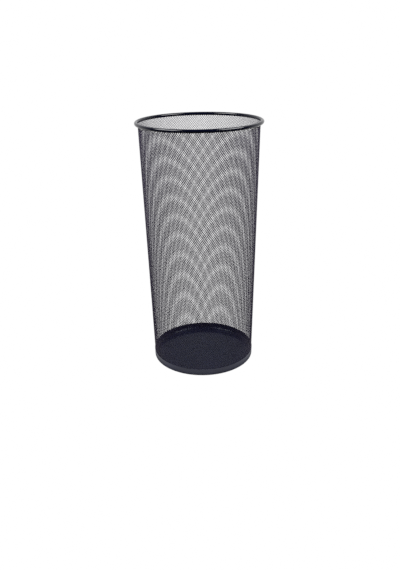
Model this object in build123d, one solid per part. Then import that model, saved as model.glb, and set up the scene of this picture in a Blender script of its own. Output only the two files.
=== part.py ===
from build123d import *
import os
from math import degrees, radians, sqrt, tan

# Round tapered umbrella stand of black painted steel: mesh wall, tube rim, solid base.
#
# Millimetres, +Z up. The origin is the centre of the underside, on the surface the stand rests on.
# The seam of the rolled mesh wall is on the +X side.

# ---- driving dimensions -------------------------------------------------------------------

HEIGHT = 500.0
MOUTH_RADIUS = 125.0            # outside of the rim tube
FOOT_RADIUS = 105.0             # outside of the base band at the floor

RIM_TUBE_RADIUS = 3.5           # outside radius of the tube's own section
RIM_SHEET = 0.6                 # strip that the tube is rolled from
RIM_SLIT_CLEARANCE = 0.3        # slit opening left on each side of the mesh

MESH_SHEET = 0.8                # thickness of the expanded steel
MESH_TOP_LIP = 6.0              # height of the edge that bends out into the rim tube
MESH_TOP_LIP_LEAN = 15.0        # degrees that this edge leans outwards
MESH_LIP_INSIDE_TUBE = 1.5      # how far below the tube's centre the mesh edge stops

SEAM_LAP = 10.0                 # width of the overlap where the rolled wall closes on itself
SEAM_END_GAP = 2.0              # the overlap stops this far short of the base and the rim

BAND_SHEET = 0.6
BAND_HEIGHT = 14.0
BAND_TURN_IN = 6.0              # width of the foot flange that is turned in under the mesh
BAND_BEND_RADIUS = 1.2          # outside radius of the bend into the flange

PAN_SHEET = 0.8
PAN_CORNER_RADIUS = 6.8         # outside radius between the pan's floor and its wall

# ---- worked out from them -----------------------------------------------------------------

RIM_CENTRE_RADIUS = MOUTH_RADIUS - RIM_TUBE_RADIUS
RIM_CENTRE_HEIGHT = HEIGHT - RIM_TUBE_RADIUS

# Outer face of the mesh: just inside the band at the floor, level with the tube's inner side at the top.
WALL_FOOT_RADIUS = FOOT_RADIUS - BAND_SHEET
WALL_TOP_RADIUS = RIM_CENTRE_RADIUS - RIM_TUBE_RADIUS + BAND_SHEET
WALL_SLOPE = (WALL_TOP_RADIUS - WALL_FOOT_RADIUS) / HEIGHT
LIP_START = RIM_CENTRE_HEIGHT - MESH_LIP_INSIDE_TUBE - MESH_TOP_LIP


def wall_radius(height, inwards=0.0):
    """Radius, at a height, of the mesh's outer face or of a face set inwards square to it."""
    return WALL_FOOT_RADIUS + WALL_SLOPE * height - inwards * sqrt(1 + WALL_SLOPE**2)


def turned_sheet(points, sheet, corner_radius=None, arc=360.0):
    """Turn a strip of sheet about +Z. Points (radius, height) run along its outer face, bottom first."""
    if corner_radius is None:
        face_line = Polyline(*points)
    else:
        face_line = FilletPolyline(*points, radius=corner_radius)
    section = make_face(offset(face_line, amount=sheet, side=Side.LEFT))
    return revolve(Plane.XZ * section, Axis.Z, arc)


# ---- the pieces ---------------------------------------------------------------------------

def make_mesh_wall():
    """The rolled sheet of expanded steel, as a closed sheet with the mesh's outline and thickness."""
    lip_reach = MESH_TOP_LIP * tan(radians(MESH_TOP_LIP_LEAN))
    outer_face = [
        (wall_radius(BAND_BEND_RADIUS), BAND_BEND_RADIUS),
        (wall_radius(LIP_START), LIP_START),
        (wall_radius(LIP_START) + lip_reach, LIP_START + MESH_TOP_LIP),
    ]
    wall = turned_sheet(outer_face, MESH_SHEET)

    seam_bottom = BAND_HEIGHT + SEAM_END_GAP
    seam_top = LIP_START - SEAM_END_GAP
    seam_face = [
        (wall_radius(seam_bottom, MESH_SHEET), seam_bottom),
        (wall_radius(seam_top, MESH_SHEET), seam_top),
    ]
    seam_arc = degrees(SEAM_LAP / wall_radius(HEIGHT / 2))
    seam = Rot(0, 0, -seam_arc / 2) * turned_sheet(seam_face, MESH_SHEET, arc=seam_arc)
    return wall + seam


def make_rim_tube():
    """The roll-formed tube round the mouth, slit on its lower inner side to take the mesh's edge."""
    lean = radians(MESH_TOP_LIP_LEAN)
    edge_radius = wall_radius(LIP_START) + MESH_TOP_LIP * tan(lean) - MESH_SHEET / 2
    edge_drop = MESH_LIP_INSIDE_TUBE
    slit_depth = 2 * RIM_TUBE_RADIUS
    slit_width = MESH_SHEET + 2 * RIM_SLIT_CLEARANCE

    tube = Circle(RIM_TUBE_RADIUS) - Circle(RIM_TUBE_RADIUS - RIM_SHEET)
    slit = Rectangle(slit_width, slit_depth, align=(Align.CENTER, Align.MAX))
    slit_place = Pos(edge_radius - RIM_CENTRE_RADIUS, -edge_drop) * Rot(0, 0, -MESH_TOP_LIP_LEAN)
    section = Pos(RIM_CENTRE_RADIUS, RIM_CENTRE_HEIGHT) * (tube - slit_place * slit)
    return revolve(Plane.XZ * section, Axis.Z)


def make_base_pan():
    """The pressed pan: a floor just clear of the ground and a short wall inside the mesh."""
    outer_face = [
        (0.0, BAND_SHEET),
        (wall_radius(BAND_SHEET, MESH_SHEET), BAND_SHEET),
        (wall_radius(BAND_HEIGHT, MESH_SHEET), BAND_HEIGHT),
    ]
    return turned_sheet(outer_face, PAN_SHEET, PAN_CORNER_RADIUS)


def make_base_band():
    """The ring outside the mesh, turned in below as the flange that the stand rests on."""
    outer_face = [
        (FOOT_RADIUS - BAND_TURN_IN, 0.0),
        (wall_radius(0.0, -BAND_SHEET), 0.0),
        (wall_radius(BAND_HEIGHT, -BAND_SHEET), BAND_HEIGHT),
    ]
    return turned_sheet(outer_face, BAND_SHEET, BAND_BEND_RADIUS)


PIECES = {
    "mesh_wall": make_mesh_wall,
    "rim_tube": make_rim_tube,
    "base_pan": make_base_pan,
    "base_band": make_base_band,
}

os.makedirs("parts", exist_ok=True)
for node, make_piece in PIECES.items():
    export_step(make_piece(), f"parts/{node}.step")
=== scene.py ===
# Looks of the umbrella stand: real strands for the mesh wall, painted steel for the rim and base.
# Metres, +Z up, front towards -Y. The seam of the rolled wall is on the +X side.

from math import atan, cos, pi, radians, sin, sqrt, tan

import bpy
import numpy as np
from mathutils import Matrix, Vector


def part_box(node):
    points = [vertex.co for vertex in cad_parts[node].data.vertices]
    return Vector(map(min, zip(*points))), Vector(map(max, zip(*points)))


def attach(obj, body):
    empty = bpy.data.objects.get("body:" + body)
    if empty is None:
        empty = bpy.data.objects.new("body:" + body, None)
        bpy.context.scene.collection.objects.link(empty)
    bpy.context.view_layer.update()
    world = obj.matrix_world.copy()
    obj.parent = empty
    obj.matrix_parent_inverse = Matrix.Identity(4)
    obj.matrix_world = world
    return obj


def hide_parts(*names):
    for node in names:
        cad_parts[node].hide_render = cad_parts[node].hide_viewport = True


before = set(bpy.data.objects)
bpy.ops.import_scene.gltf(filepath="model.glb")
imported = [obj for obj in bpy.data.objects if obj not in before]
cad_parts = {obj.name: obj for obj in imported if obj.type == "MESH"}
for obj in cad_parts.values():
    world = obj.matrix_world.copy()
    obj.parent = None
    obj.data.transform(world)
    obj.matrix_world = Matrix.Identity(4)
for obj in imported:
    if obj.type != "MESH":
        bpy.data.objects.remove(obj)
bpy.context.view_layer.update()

# ---- sizes, in metres -------------------------------------------------------------------------

WALL_LOW, WALL_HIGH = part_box("mesh_wall")
RIM_LOW, RIM_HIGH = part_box("rim_tube")

HEIGHT = RIM_HIGH.z
RIM_TUBE_RADIUS = (RIM_HIGH.z - RIM_LOW.z) / 2
RIM_CENTRE_RADIUS = RIM_HIGH.x - RIM_TUBE_RADIUS
BAND_SHEET = 0.0006
MESH_SHEET = 0.0008

# The wall's outer face, from the floor to the rim, as in the CAD model.
WALL_FOOT_RADIUS = 0.1044
WALL_TOP_RADIUS = RIM_CENTRE_RADIUS - RIM_TUBE_RADIUS + BAND_SHEET
WALL_SLOPE = (WALL_TOP_RADIUS - WALL_FOOT_RADIUS) / HEIGHT
LIP_LEAN = tan(radians(15))
LIP_START = WALL_HIGH.z - 0.006

# ---- the diamond mesh: sizes ----------------------------------------------------------------

DIAMONDS_AROUND = 188           # the same at every height: the sheet is stretched wider at the top
ROW_PITCH_FOOT = 0.006125        # and so its diamonds are taller at the foot
ROW_PITCH_MIDDLE = 0.005690
ROW_PITCH_TOP = 0.005469
ROW_TILT = 0.183                # in rows: the back of a row is lower than its front by twice this
LATTICE_TURN = -0.081           # where the lattice starts, in diamonds from the front
LATTICE_LIFT = 0.117            # and in rows from mid height

STRAND_WIDTH = 0.00068
STRAND_THICKNESS = 0.0005       # along the middle of a strand
STRAND_EDGE = 0.0003            # along its edges
SIDE_CORNER_FILL = 0.14         # share of an opening's side corners that the knuckles fill
END_CORNER_FILL = 0.10          # the same at its upper and lower ends

PANELS = 10                     # the wall is built in this many panels, which meet inside the strands
WALL_BOTTOM = WALL_LOW.z + 0.001
WALL_TOP = HEIGHT - 0.0012      # inside the rim tube

# How far the faces through the sheet's thickness are drawn in on the flat map.
CUT_MAP_INSET = 0.96
EDGE_MAP_INSET = 0.75

SEAM_COLUMN = DIAMONDS_AROUND // 4
LAP_DIAMONDS = 3                # width of the overlap where the rolled wall closes on itself
LAP_STEP_DIAMONDS = 5           # the inner end steps inwards over this width before the overlap
LAP_STEP_HEIGHT = 0.008         # and the step fades out over this height at the base and the rim
LAP_STEP_DEPTH = 1.1 * MESH_SHEET
LAP_END_GAP = 0.002             # the step has faded out this far short of the base and the rim
LAP_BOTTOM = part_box("base_band")[1].z + LAP_END_GAP + LAP_STEP_HEIGHT
LAP_TOP = LIP_START - LAP_END_GAP - LAP_STEP_HEIGHT


def wall_radius(height):
    """Outer face of the wall, with the lip that leans out into the rim."""
    lip = np.maximum(height - LIP_START, 0.0)
    return WALL_FOOT_RADIUS + WALL_SLOPE * (height - lip) + LIP_LEAN * lip


def rows_by_height():
    """Two arrays: heights, and the row numbers there, counted from mid height."""
    height = np.linspace(-0.02, HEIGHT + 0.02, 1081)
    from_middle = (height - HEIGHT / 2) / (HEIGHT / 2)
    slope = (ROW_PITCH_TOP - ROW_PITCH_FOOT) / 2
    bend = (ROW_PITCH_TOP + ROW_PITCH_FOOT) / 2 - ROW_PITCH_MIDDLE
    pitch = ROW_PITCH_MIDDLE + slope * from_middle + bend * from_middle**2
    steps = np.diff(height) * (1 / pitch[1:] + 1 / pitch[:-1]) / 2
    row = np.concatenate([[0.0], np.cumsum(steps)])
    return height, row - np.interp(HEIGHT / 2, height, row)


ROW_HEIGHTS, ROW_NUMBERS = rows_by_height()


def lattice_height(column, row):
    """Height of a lattice point, from its column and row."""
    angle = 2 * pi * (column - LATTICE_TURN) / DIAMONDS_AROUND
    level_row = row - LATTICE_LIFT - ROW_TILT * (1 - np.cos(angle))
    return np.interp(level_row, ROW_NUMBERS, ROW_HEIGHTS)


def lap_step(column, height):
    """Share of the full step inwards, which the sheet's inner end takes to pass behind the outer one."""
    across = (column - SEAM_COLUMN + LAP_DIAMONDS / 2) / LAP_STEP_DIAMONDS + 1
    up = np.minimum(height - LAP_BOTTOM, LAP_TOP - height) / LAP_STEP_HEIGHT + 1
    across = np.clip(across, 0, 1)
    up = np.clip(up, 0, 1)
    return across**2 * (3 - 2 * across) * up**2 * (3 - 2 * up)


def on_wall(column, row, offset):
    """Places of lattice points, at an offset outwards from the middle of the sheet."""
    angle = 2 * pi * (column - LATTICE_TURN) / DIAMONDS_AROUND
    height = lattice_height(column, row)
    lean = atan(WALL_SLOPE)
    depth = offset - MESH_SHEET / 2 - LAP_STEP_DEPTH * lap_step(column, height)
    radius = wall_radius(height) + depth * cos(lean)
    return np.stack([radius * np.sin(angle), -radius * np.cos(angle), height - depth * sin(lean)], -1)


def opening_corners():
    """The eight corners of an opening, anticlockwise from the right, for a diamond of half size 1."""
    pitch_across = 2 * pi * wall_radius(HEIGHT / 2) / DIAMONDS_AROUND
    strand_gap = pitch_across * ROW_PITCH_MIDDLE / sqrt(pitch_across**2 + ROW_PITCH_MIDDLE**2)
    size = 1 - STRAND_WIDTH / strand_gap
    quarter = [(1 - SIDE_CORNER_FILL, SIDE_CORNER_FILL), (END_CORNER_FILL, 1 - END_CORNER_FILL)]
    corners = list(quarter)
    corners += [(-x, y) for x, y in reversed(quarter)]
    corners += [(-x, -y) for x, y in quarter]
    corners += [(x, -y) for x, y in reversed(quarter)]
    return size * np.array(corners)


def panel_cells(first, last):
    """Centres of the diamonds of one panel, in half columns and half rows, as an array of pairs."""
    lowest = int(2 * ROW_NUMBERS[0])
    highest = int(2 * ROW_NUMBERS[-1])
    across, up = np.meshgrid(np.arange(first, last), np.arange(lowest, highest), indexing="ij")
    between = (across + up) % 2 == 1
    low = lattice_height(across / 2, (up - 1) / 2)
    high = lattice_height(across / 2, (up + 1) / 2)
    on_sheet = (low > WALL_BOTTOM) & (high < WALL_TOP)
    # The sheet's ends overlap only between the base and the rim; there they just meet.
    single = across < 2 * SEAM_COLUMN - LAP_DIAMONDS
    overlapping = (low > LAP_BOTTOM) & (high < LAP_TOP)
    return np.stack([across, up], -1)[between & on_sheet & (single | overlapping)]


def mesh_panel(name, first, last):
    """A closed mesh of the strands round every diamond whose centre is in these half columns."""
    cells = panel_cells(first, last)
    count = len(cells)
    inside = {tuple(c) for c in cells.tolist()}

    # The four knuckles round each diamond: right, upper, left, lower.
    turns = np.array([(1, 0), (0, 1), (-1, 0), (0, -1)])
    knuckles = (cells[:, None, :] + turns).reshape(-1, 2)
    places, knuckle_of = np.unique(knuckles, axis=0, return_inverse=True)
    knuckle_of = knuckle_of.reshape(count, 4)
    knuckle_count = len(places)

    corners = opening_corners()
    rim = cells[:, None, :] + corners
    ridge = STRAND_THICKNESS / 2
    edge = STRAND_EDGE / 2
    points = np.concatenate([
        on_wall(places[:, 0] / 2, places[:, 1] / 2, ridge),
        on_wall(places[:, 0] / 2, places[:, 1] / 2, -ridge),
        on_wall(rim[..., 0].ravel() / 2, rim[..., 1].ravel() / 2, edge),
        on_wall(rim[..., 0].ravel() / 2, rim[..., 1].ravel() / 2, -edge),
    ])
    outer = knuckle_of
    inner = knuckle_of + knuckle_count
    outer_rim = 2 * knuckle_count + np.arange(count * 8).reshape(count, 8)
    inner_rim = outer_rim + count * 8

    quads = []
    quad_maps = []
    triangles = []
    triangle_maps = []
    lay = Layout(cells, first, last)
    for k in range(4):
        # Strand from knuckle k to the next: opening corners 2k and 2k + 1 lie along it.
        after = (k + 1) % 4
        a = 2 * k
        b = 2 * k + 1
        before = (2 * k - 1) % 8
        quads.append(np.stack([outer[:, k], outer[:, after], outer_rim[:, b], outer_rim[:, a]], 1))
        quad_maps.append(lay.face(False, [turns[k], turns[after], corners[b], corners[a]]))
        quads.append(np.stack([inner[:, after], inner[:, k], inner_rim[:, a], inner_rim[:, b]], 1))
        quad_maps.append(lay.face(True, [turns[after], turns[k], corners[a], corners[b]]))
        triangles.append(np.stack([outer[:, k], outer_rim[:, a], outer_rim[:, before]], 1))
        triangle_maps.append(lay.face(False, [turns[k], corners[a], corners[before]]))
        triangles.append(np.stack([inner[:, k], inner_rim[:, before], inner_rim[:, a]], 1))
        triangle_maps.append(lay.face(True, [turns[k], corners[before], corners[a]]))
        # A cut face where the panel ends.
        neighbour = cells + turns[k] + turns[after]
        cut = np.array([tuple(c) not in inside for c in neighbour.tolist()])
        quads.append(np.stack([outer[:, after], outer[:, k], inner[:, k], inner[:, after]], 1)[cut])
        cut_inset = [CUT_MAP_INSET * turns[k], CUT_MAP_INSET * turns[after]]
        cut_map = lay.face(False, [turns[after], turns[k], *cut_inset])
        quad_maps.append(cut_map[cut])
    for c in range(8):
        # The strands' edges round the opening.
        d = (c + 1) % 8
        quads.append(np.stack([outer_rim[:, c], outer_rim[:, d], inner_rim[:, d], inner_rim[:, c]], 1))
        edge_inset = [EDGE_MAP_INSET * corners[d], EDGE_MAP_INSET * corners[c]]
        quad_maps.append(lay.face(False, [corners[c], corners[d], *edge_inset]))
    panel = new_mesh(name, points, np.concatenate(quads), np.concatenate(triangles),
                     np.concatenate(quad_maps), np.concatenate(triangle_maps))
    # At the knuckles the strands face straight out and in, at the panels' ends as well.
    angle = 2 * pi * (places[:, 0] / 2 - LATTICE_TURN) / DIAMONDS_AROUND
    outwards = np.stack([np.sin(angle), -np.cos(angle), np.full(knuckle_count, -WALL_SLOPE)], -1)
    normals = np.zeros((len(points), 3))
    normals[:knuckle_count] = outwards
    normals[knuckle_count:2 * knuckle_count] = -outwards
    panel.data.normals_split_custom_set_from_vertices(normals.tolist())
    return panel


class Layout:
    """Places of a panel's faces on its flat map: outer faces on the left half, inner on the right."""

    def __init__(self, cells, first, last):
        self.cells = cells
        self.low = np.array([first - 1.0, cells[:, 1].min() - 1.0])
        self.span = np.array([last - first + 1.0, np.ptp(cells[:, 1]) + 2.0])

    def face(self, is_inner, corners):
        """Map places for one face of every diamond, from its corners in half columns and half rows."""
        at = (self.cells[:, None, :] + np.array(corners, float) - self.low) / self.span
        at[..., 0] = at[..., 0] * 0.5 + (0.5 if is_inner else 0.0)
        return at


def new_mesh(name, points, quads, triangles, quad_map, triangle_map):
    """A smooth-shaded mesh object from arrays of points and faces, with a flat map."""
    mesh = bpy.data.meshes.new(name)
    corner_points = np.concatenate([quads.ravel(), triangles.ravel()]).astype(np.int32)
    sizes = np.concatenate([np.full(len(quads), 4), np.full(len(triangles), 3)]).astype(np.int32)
    starts = np.concatenate([[0], np.cumsum(sizes)[:-1]]).astype(np.int32)
    mesh.vertices.add(len(points))
    mesh.vertices.foreach_set("co", points.astype(np.float32).ravel())
    mesh.loops.add(len(corner_points))
    mesh.loops.foreach_set("vertex_index", corner_points)
    mesh.polygons.add(len(sizes))
    mesh.polygons.foreach_set("loop_start", starts)
    mesh.polygons.foreach_set("loop_total", sizes)
    mesh.update(calc_edges=True)
    mesh.polygons.foreach_set("use_smooth", np.ones(len(sizes), bool))
    flat_map = mesh.uv_layers.new(name="OFBake")
    places = np.concatenate([quad_map.reshape(-1, 2), triangle_map.reshape(-1, 2)])
    flat_map.data.foreach_set("uv", places.astype(np.float32).ravel())
    mesh.validate()
    piece = bpy.data.objects.new(name, mesh)
    bpy.context.scene.collection.objects.link(piece)
    return piece


def build_mesh_wall():
    """The wall's panels, side by side all the way round."""
    last = 2 * SEAM_COLUMN + LAP_DIAMONDS
    first = last - 2 * (DIAMONDS_AROUND + LAP_DIAMONDS)
    bounds = np.linspace(first, last, PANELS + 1).round().astype(int)
    return [mesh_panel(f"mesh_wall_panel_{k + 1:02d}", bounds[k], bounds[k + 1]) for k in range(PANELS)]


# ---- nodes ------------------------------------------------------------------------------------

def map_range(nodes, given, result, curve="LINEAR"):
    """A node that turns one range of values, a pair, into another."""
    node = nodes.new("ShaderNodeMapRange")
    node.interpolation_type = curve
    node.inputs["From Min"].default_value = given[0]
    node.inputs["From Max"].default_value = given[1]
    node.inputs["To Min"].default_value = result[0]
    node.inputs["To Max"].default_value = result[1]
    return node


def noise(nodes, scale, detail):
    node = nodes.new("ShaderNodeTexNoise")
    node.inputs["Scale"].default_value = scale
    node.inputs["Detail"].default_value = detail
    return node


def maths(nodes, operation):
    node = nodes.new("ShaderNodeMath")
    node.operation = operation
    return node


# ---- paint ------------------------------------------------------------------------------------

MOTTLE_SCALE = 35.0
MOTTLE_DETAIL = 4.0
MOTTLE_LIMITS = (0.35, 0.65)    # of the noise, between the darkest and the lightest paint
COLOUR_SPREAD = 0.15
GLOSS_SPREAD = 0.12
PEEL_GRAIN = 0.0004             # size of the orange peel's bumps
PEEL_DETAIL = 2.0
PEEL_HEIGHT = 0.00005
PEEL_STRENGTH = 0.02


def painted_steel(name, colour, roughness, shine, glint=(1, 1, 1)):
    """Semi-gloss black paint: faint mottling in colour and gloss, and orange peel."""
    material = bpy.data.materials.new(name)
    material.use_nodes = True
    nodes = material.node_tree.nodes
    links = material.node_tree.links
    shader = nodes["Principled BSDF"]
    place = nodes.new("ShaderNodeTexCoord")

    mottle = noise(nodes, MOTTLE_SCALE, MOTTLE_DETAIL)
    links.new(place.outputs["Object"], mottle.inputs["Vector"])
    tint = nodes.new("ShaderNodeValToRGB")
    for stop, limit, spread in zip(tint.color_ramp.elements, MOTTLE_LIMITS, (-COLOUR_SPREAD, COLOUR_SPREAD)):
        stop.position = limit
        stop.color = (*[c * (1 + spread) for c in colour], 1)
    links.new(mottle.outputs["Fac"], tint.inputs["Fac"])
    links.new(tint.outputs["Color"], shader.inputs["Base Color"])

    gloss = map_range(nodes, (0, 1), (roughness * (1 - GLOSS_SPREAD), roughness * (1 + GLOSS_SPREAD)))
    links.new(mottle.outputs["Fac"], gloss.inputs["Value"])
    links.new(gloss.outputs["Result"], shader.inputs["Roughness"])

    peel = noise(nodes, 1 / (2 * PEEL_GRAIN), PEEL_DETAIL)
    links.new(place.outputs["Object"], peel.inputs["Vector"])
    relief = nodes.new("ShaderNodeBump")
    relief.inputs["Strength"].default_value = PEEL_STRENGTH
    relief.inputs["Distance"].default_value = PEEL_HEIGHT
    links.new(peel.outputs["Fac"], relief.inputs["Height"])
    links.new(relief.outputs["Normal"], shader.inputs["Normal"])

    shader.inputs["Specular IOR Level"].default_value = shine
    shader.inputs["Specular Tint"].default_value = (*glint, 1)
    return material


def mesh_paint():
    return painted_steel("mesh_paint", (0.017, 0.011, 0.034), roughness=0.45, shine=0.25)


def rim_paint():
    return painted_steel("rim_paint", (0.0008, 0.0016, 0.0090), roughness=0.15, shine=0.40)


def pan_paint():
    colour = (0.007, 0.012, 0.032)
    return painted_steel("pan_paint", colour, roughness=0.20, shine=0.27, glint=(0.80, 0.86, 1.0))


def band_paint():
    return painted_steel("band_paint", (0.027, 0.029, 0.056), roughness=0.3, shine=0.5)


def assign(piece, material):
    """Give a piece this material in all its slots."""
    if piece.material_slots:
        for slot in piece.material_slots:
            slot.material = material
    else:
        piece.data.materials.append(material)


# ---- camera -----------------------------------------------------------------------------------

CAMERA_BACK = 1.18466
CAMERA_UP = 0.66086
CAMERA_DOWN = 19.39             # degrees below level
CAMERA_ROLL = -1.08             # degrees
CAMERA_FOCUS = 608.6 / 570      # focal length over the height of the frame
CAMERA_SHIFT = (-0.00256, -0.0698)
SENSOR_WIDTH = 36.0             # millimetres


def build_camera():
    data = bpy.data.cameras.new("camera")
    data.sensor_width = SENSOR_WIDTH
    data.lens = CAMERA_FOCUS * data.sensor_width
    data.shift_x = CAMERA_SHIFT[0]
    data.shift_y = CAMERA_SHIFT[1]
    camera = bpy.data.objects.new("camera", data)
    bpy.context.scene.collection.objects.link(camera)
    turn = Matrix.Rotation(radians(90 - CAMERA_DOWN), 4, "X") @ Matrix.Rotation(radians(CAMERA_ROLL), 4, "Z")
    camera.matrix_world = Matrix.Translation((0, -CAMERA_BACK, CAMERA_UP)) @ turn
    bpy.context.scene.camera = camera


# ---- stage ------------------------------------------------------------------------------------

# Light that the surroundings throw on the object. The camera itself sees them as plain white.
ROOM_GLOW = 0.02
BACKDROP_GLOW = 0.8
BACKDROP_EDGE = (0.0, 0.6)      # of the direction's part towards the back: from dark to bright

FLOOR_SIZE = 12
FLOOR_DROP = 0.0002             # below the object's foot, so that the two faces don't coincide
FLOOR_GLOW_FRONT = 0.06
FLOOR_GLOW_BACK = 0.9
FLOOR_GLOW_EDGE = (-0.1, 0.5)   # from the front's glow to the back's, along Y
FLOOR_GLOW_NEAR = 0.7           # close round the foot, fading out between these two radii
FLOOR_GLOW_NEAR_RADII = (0.13, 0.24)
CONTACT_SHADE_RADII = (0.105, 0.116)    # and dark close under the foot's edge

SOFTBOX_PLACE = (0.90, -0.4, 1.30)      # the right-hand one; the other mirrors it
SOFTBOX_SIZE = (0.9, 0.6)
SOFTBOX_POWER = 22


def build_world():
    """White to the camera; to the object, a dark room in front and a bright backdrop behind."""
    world = bpy.data.worlds.new("studio")
    bpy.context.scene.world = world
    world.use_nodes = True
    nodes = world.node_tree.nodes
    links = world.node_tree.links
    seen = nodes["Background"]
    seen.inputs["Color"].default_value = (1, 1, 1, 1)
    seen.inputs["Strength"].default_value = 1.0
    fill = nodes.new("ShaderNodeBackground")
    fill.inputs["Color"].default_value = (1, 1, 1, 1)

    direction = nodes.new("ShaderNodeTexCoord")
    split = nodes.new("ShaderNodeSeparateXYZ")
    backdrop = map_range(nodes, BACKDROP_EDGE, (ROOM_GLOW, BACKDROP_GLOW), "SMOOTHSTEP")
    links.new(direction.outputs["Generated"], split.inputs["Vector"])
    links.new(split.outputs["Y"], backdrop.inputs["Value"])
    links.new(backdrop.outputs["Result"], fill.inputs["Strength"])

    path = nodes.new("ShaderNodeLightPath")
    mix = nodes.new("ShaderNodeMixShader")
    links.new(path.outputs["Is Camera Ray"], mix.inputs["Fac"])
    links.new(fill.outputs["Background"], mix.inputs[1])
    links.new(seen.outputs["Background"], mix.inputs[2])
    links.new(mix.outputs["Shader"], nodes["World Output"].inputs["Surface"])


def floor_glow(nodes, links):
    """Socket with the light that the floor throws: more at the back and near the foot, none under it."""
    place = nodes.new("ShaderNodeNewGeometry")
    split = nodes.new("ShaderNodeSeparateXYZ")
    wide = map_range(nodes, FLOOR_GLOW_EDGE, (FLOOR_GLOW_FRONT, FLOOR_GLOW_BACK), "SMOOTHSTEP")
    links.new(place.outputs["Position"], split.inputs["Vector"])
    links.new(split.outputs["Y"], wide.inputs["Value"])

    distance = nodes.new("ShaderNodeVectorMath")
    distance.operation = "LENGTH"
    near = map_range(nodes, FLOOR_GLOW_NEAR_RADII, (FLOOR_GLOW_NEAR, 0))
    shade = map_range(nodes, CONTACT_SHADE_RADII, (0, 1))
    links.new(place.outputs["Position"], distance.inputs[0])
    links.new(distance.outputs["Value"], near.inputs["Value"])
    links.new(distance.outputs["Value"], shade.inputs["Value"])

    brighter = maths(nodes, "MAXIMUM")
    shaded = maths(nodes, "MULTIPLY")
    links.new(near.outputs["Result"], brighter.inputs[0])
    links.new(wide.outputs["Result"], brighter.inputs[1])
    links.new(brighter.outputs["Value"], shaded.inputs[0])
    links.new(shade.outputs["Result"], shaded.inputs[1])
    return shaded.outputs["Value"]


def white_floor():
    """Material that is plain white to the camera and throws dimmer, shaped light on the object."""
    material = bpy.data.materials.new("white_floor")
    material.use_nodes = True
    nodes = material.node_tree.nodes
    links = material.node_tree.links
    glow = nodes.new("ShaderNodeEmission")
    path = nodes.new("ShaderNodeLightPath")
    strength = map_range(nodes, (0, 1), (0, 1))
    links.new(floor_glow(nodes, links), strength.inputs["To Min"])
    links.new(path.outputs["Is Camera Ray"], strength.inputs["Value"])
    links.new(strength.outputs["Result"], glow.inputs["Strength"])
    links.new(glow.outputs["Emission"], nodes["Material Output"].inputs["Surface"])
    return material


def build_floor():
    bpy.ops.mesh.primitive_plane_add(size=FLOOR_SIZE)
    floor = bpy.context.object
    floor.name = "floor"
    floor.location.z = -FLOOR_DROP
    floor.data.materials.append(white_floor())


def softbox(name, side):
    """An area light that faces the middle of the object, on the left (-1) or the right (1)."""
    data = bpy.data.lights.new(name, "AREA")
    data.shape = "RECTANGLE"
    data.size = SOFTBOX_SIZE[0]
    data.size_y = SOFTBOX_SIZE[1]
    data.energy = SOFTBOX_POWER
    light = bpy.data.objects.new(name, data)
    bpy.context.scene.collection.objects.link(light)
    light.location = (side * SOFTBOX_PLACE[0], SOFTBOX_PLACE[1], SOFTBOX_PLACE[2])
    towards = Vector((0, 0, HEIGHT / 2)) - light.location
    light.rotation_euler = towards.to_track_quat("-Z", "Y").to_euler()


# ---- build ------------------------------------------------------------------------------------

build_camera()
build_world()
build_floor()
softbox("softbox_left", -1)
softbox("softbox_right", 1)

strand_paint = mesh_paint()
for panel in build_mesh_wall():
    assign(panel, strand_paint)
    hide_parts("mesh_wall")
    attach(panel, "root")

assign(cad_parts["rim_tube"], rim_paint())
assign(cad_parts["base_pan"], pan_paint())
assign(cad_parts["base_band"], band_paint())

bpy.context.scene.view_settings.view_transform = "Standard"
bpy.context.scene.cycles.use_denoising = False
